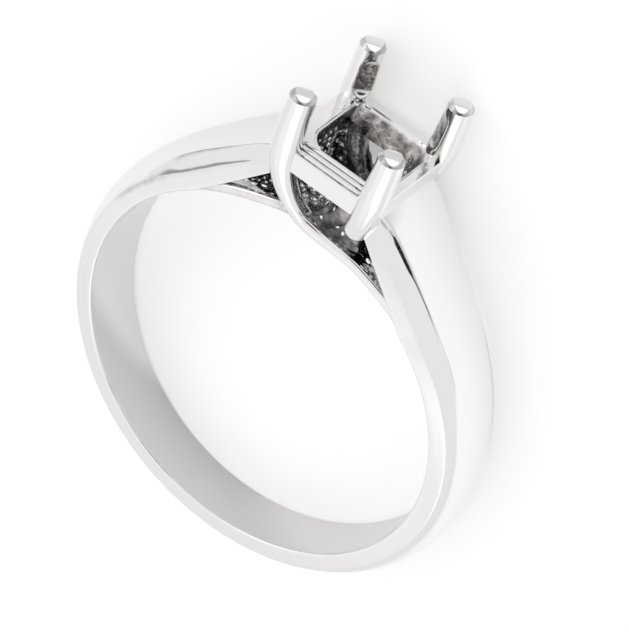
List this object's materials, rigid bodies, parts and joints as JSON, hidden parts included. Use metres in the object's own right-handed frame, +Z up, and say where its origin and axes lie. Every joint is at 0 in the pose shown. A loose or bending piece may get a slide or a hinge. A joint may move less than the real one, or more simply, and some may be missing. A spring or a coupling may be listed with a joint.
{
  "type": "solitaire ring mounting",
  "caption": "Solitaire ring in polished white metal with a tapered shank, cathedral shoulders and an empty trellis head with round prongs.",
  "frame": {"origin": "centre of the footprint on the table, under the ring as it lies on its back", "axes": "+Y from the foot of the shank towards the head, +X across the finger hole, +Z up from the table, close to the finger axis and out of the front of the ring"},
  "size_m": [0.0202, 0.0252, 0.0065],
  "materials": {
    "white_gold": "polished"
  },
  "bodies": {
    "root": {"ring_mounting": "white_gold"}
  },
  "joints": []
}
